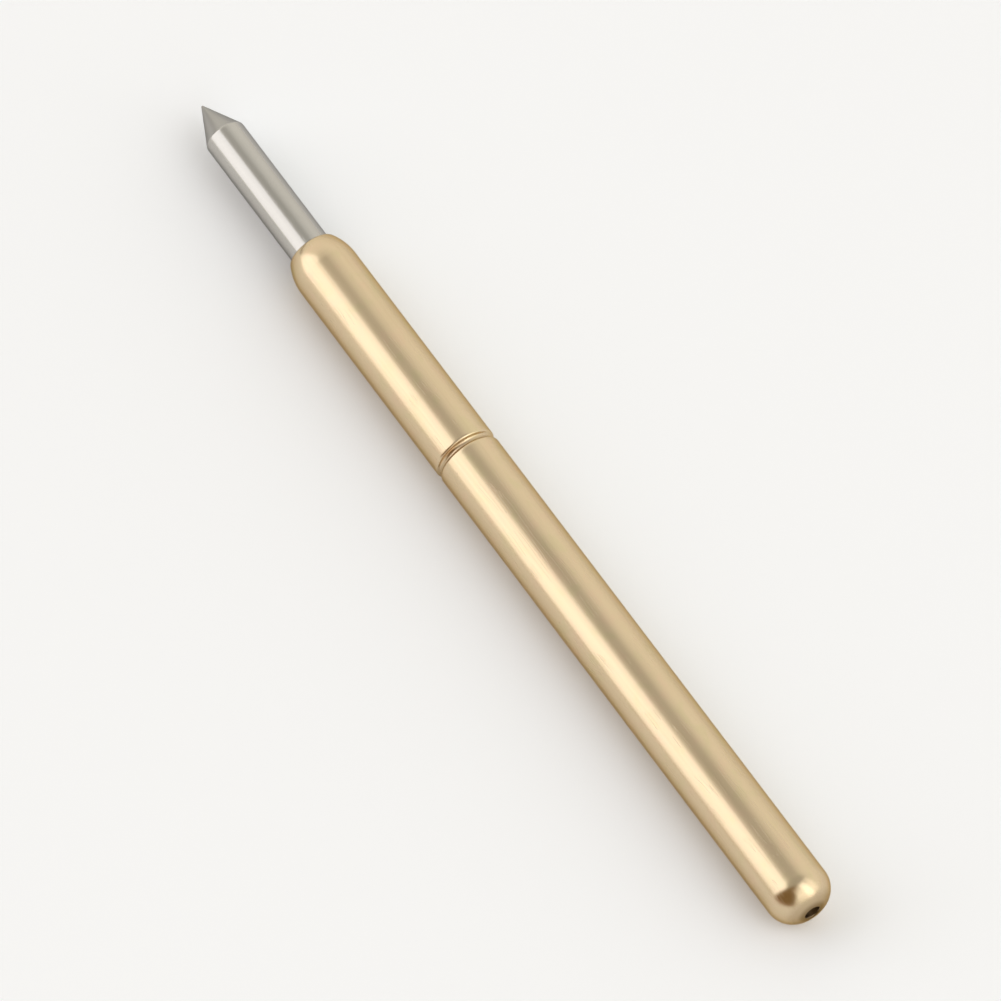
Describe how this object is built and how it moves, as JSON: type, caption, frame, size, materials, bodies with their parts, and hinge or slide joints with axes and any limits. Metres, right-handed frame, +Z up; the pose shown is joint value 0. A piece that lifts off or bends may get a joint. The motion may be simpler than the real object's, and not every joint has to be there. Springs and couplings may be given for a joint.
{
  "type": "pogo pin",
  "caption": "Spring-loaded contact probe: a gold-plated closed barrel with a rolled crimp and a pointed plunger that slides in against an inner coil spring.",
  "frame": {"origin": "on the axis, at the front end of the barrel's straight wall, just behind the rolled mouth", "axes": "+X along the axis from the contact tip to the closed tail, +Z up as the probe lies on a table"},
  "size_m": [0.0165, 0.001, 0.001],
  "materials": {
    "gold_plate": "bright gold plate over drawn copper alloy, with fine drawing lines along the tube",
    "bright_plate": "bright nickel plate on a polished shaft, finely turned contact cone",
    "spring_wire": "drawn spring wire, satin"
  },
  "bodies": {
    "barrel": {"barrel": "gold_plate", "spring": "spring_wire"},
    "plunger": {"plunger": "bright_plate"}
  },
  "joints": [
    {"name": "plunger_travel", "type": "slide", "parent": "barrel", "child": "plunger", "axis": [1, 0, 0], "range_m": [0, 0.00265], "stiffness_N_per_m": 350, "springref_m": -0.001, "deforming": ["spring"]}
  ]
}
